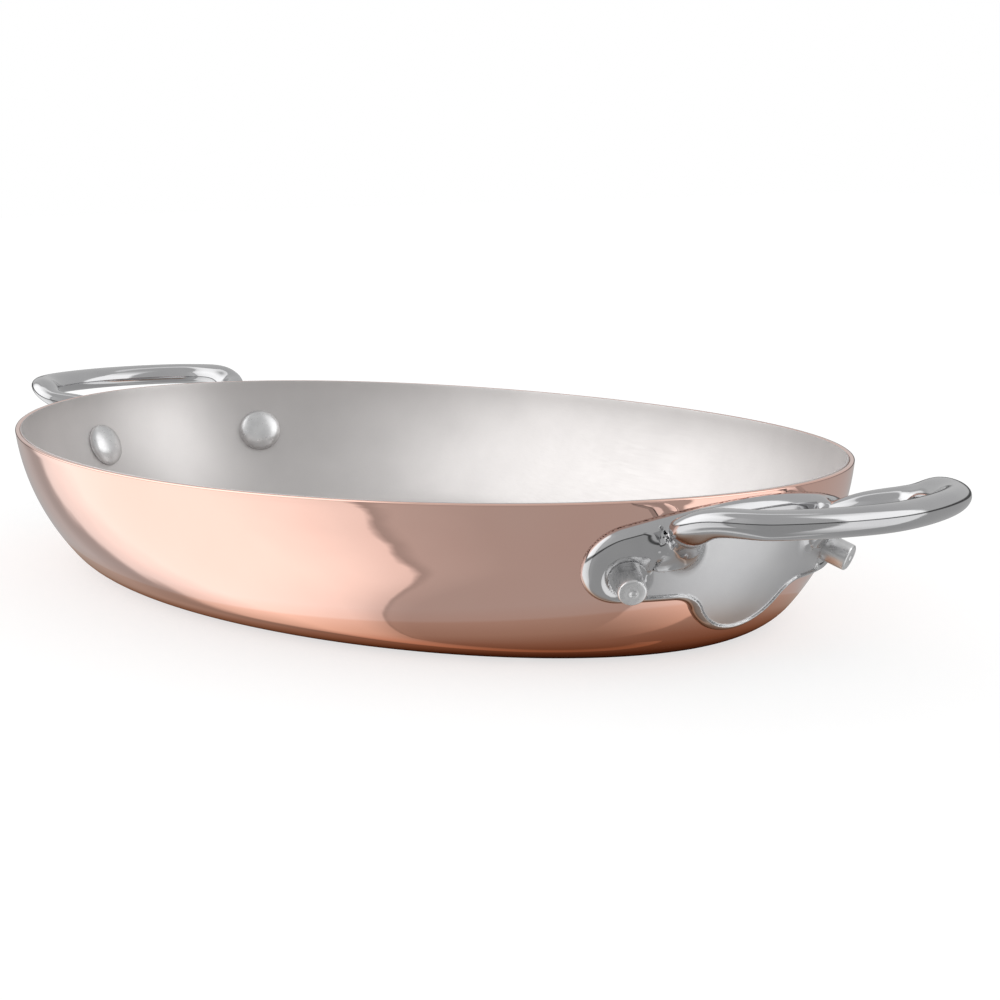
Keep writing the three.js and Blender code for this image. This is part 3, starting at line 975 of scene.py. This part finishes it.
# Above its corner the bright screen's edge draws back towards the left, and its cloth hangs in folds.
screen_corner = math.radians(49)
screen_draw = 17.0
screen_draw_end = math.radians(44)
fold_scale = 7.0
fold_depth = math.radians(3)

# A dark line runs along the foot of the walls.
skirting_height = math.radians(6)
skirting_bright = 0.15


def reckon(material, operation, *values):
    """The result of one step of arithmetic on values or other nodes' outputs."""
    return node(material, "ShaderNodeMath", dict(enumerate(values)), operation=operation).outputs[0]


def studio_walls():
    """The walls and ceiling as the world: plain white, but to polished metal the screens and the grey."""
    world = bpy.data.worlds.new("studio")
    bpy.context.scene.world = world
    world.use_nodes = True
    way = node(world, "ShaderNodeTexCoord").outputs["Generated"]
    parts = node(world, "ShaderNodeSeparateXYZ", {0: way}).outputs
    bearing = reckon(world, "ARCTAN2", parts[0], reckon(world, "MULTIPLY", parts[1], -1.0))
    height = reckon(world, "ABSOLUTE", reckon(world, "ARCSINE", parts[2]))

    folds = mapped(world, noise(world, way, fold_scale), (0, 1), (-fold_depth, fold_depth))
    folded = reckon(world, "ADD", bearing, folds)
    over_corner = reckon(world, "MAXIMUM", reckon(world, "SUBTRACT", height, screen_corner), 0.0)
    draw = reckon(world, "MULTIPLY", reckon(world, "POWER", over_corner, 2.0), screen_draw)
    drawn = reckon(world, "MINIMUM", reckon(world, "ADD", folded, draw), screen_draw_end)
    looked = reckon(world, "MAXIMUM", drawn, folded)

    zones = [(math.radians(degrees), (bright, bright, bright)) for degrees, bright in wall_stops]
    walls = shade_ramp(world, looked, zones, -math.pi, math.pi)
    skirting = mapped(world, height, (skirting_height / 2, skirting_height), (skirting_bright, 1))
    lined = node(world, "ShaderNodeVectorMath", {0: walls, "Scale": skirting}, operation="SCALE").outputs[0]
    overhead = mapped(world, height, (ceiling_start, ceiling_full), interpolation_type="SMOOTHSTEP")
    around = tint(world, overhead, lined, (ceiling_bright, ceiling_bright, ceiling_bright, 1))
    rays = node(world, "ShaderNodeLightPath").outputs
    shown = tint(world, rays["Is Glossy Ray"], (1, 1, 1, 1), around)
    world.node_tree.links.new(shown, world.node_tree.nodes["Background"].inputs["Color"])


studio_floor()
studio_walls()

# Camera. It stands low off the pan's right front quarter, about 0.7 metres away, and is turned a little
# to the right of the pan's middle.
camera_target = Vector((0, 0, 0.025))
camera_bearing = math.radians(57.23)
camera_height = math.radians(9.16)
camera_distance = 0.71948
camera_yaw = math.radians(2.52)
camera_pitch = math.radians(-0.10)
camera_roll = math.radians(-1.17)
camera_lens = 77.64

camera_data = bpy.data.cameras.new("camera")
camera_data.lens = camera_lens
camera_data.clip_start = 0.01
camera = bpy.data.objects.new("camera", camera_data)
bpy.context.scene.collection.objects.link(camera)
backward = Vector(
    (
        math.sin(camera_bearing) * math.cos(camera_height),
        -math.cos(camera_bearing) * math.cos(camera_height),
        math.sin(camera_height),
    )
)
aim = (-backward).to_track_quat("-Z", "Y").to_matrix()
aim = aim @ Matrix.Rotation(-camera_yaw, 3, "Y")
aim = aim @ Matrix.Rotation(camera_pitch, 3, "X")
aim = aim @ Matrix.Rotation(camera_roll, 3, "Z")
camera.matrix_world = Matrix.Translation(camera_target + backward * camera_distance) @ aim.to_4x4()
bpy.context.scene.camera = camera
bpy.context.scene.view_settings.view_transform = "Standard"
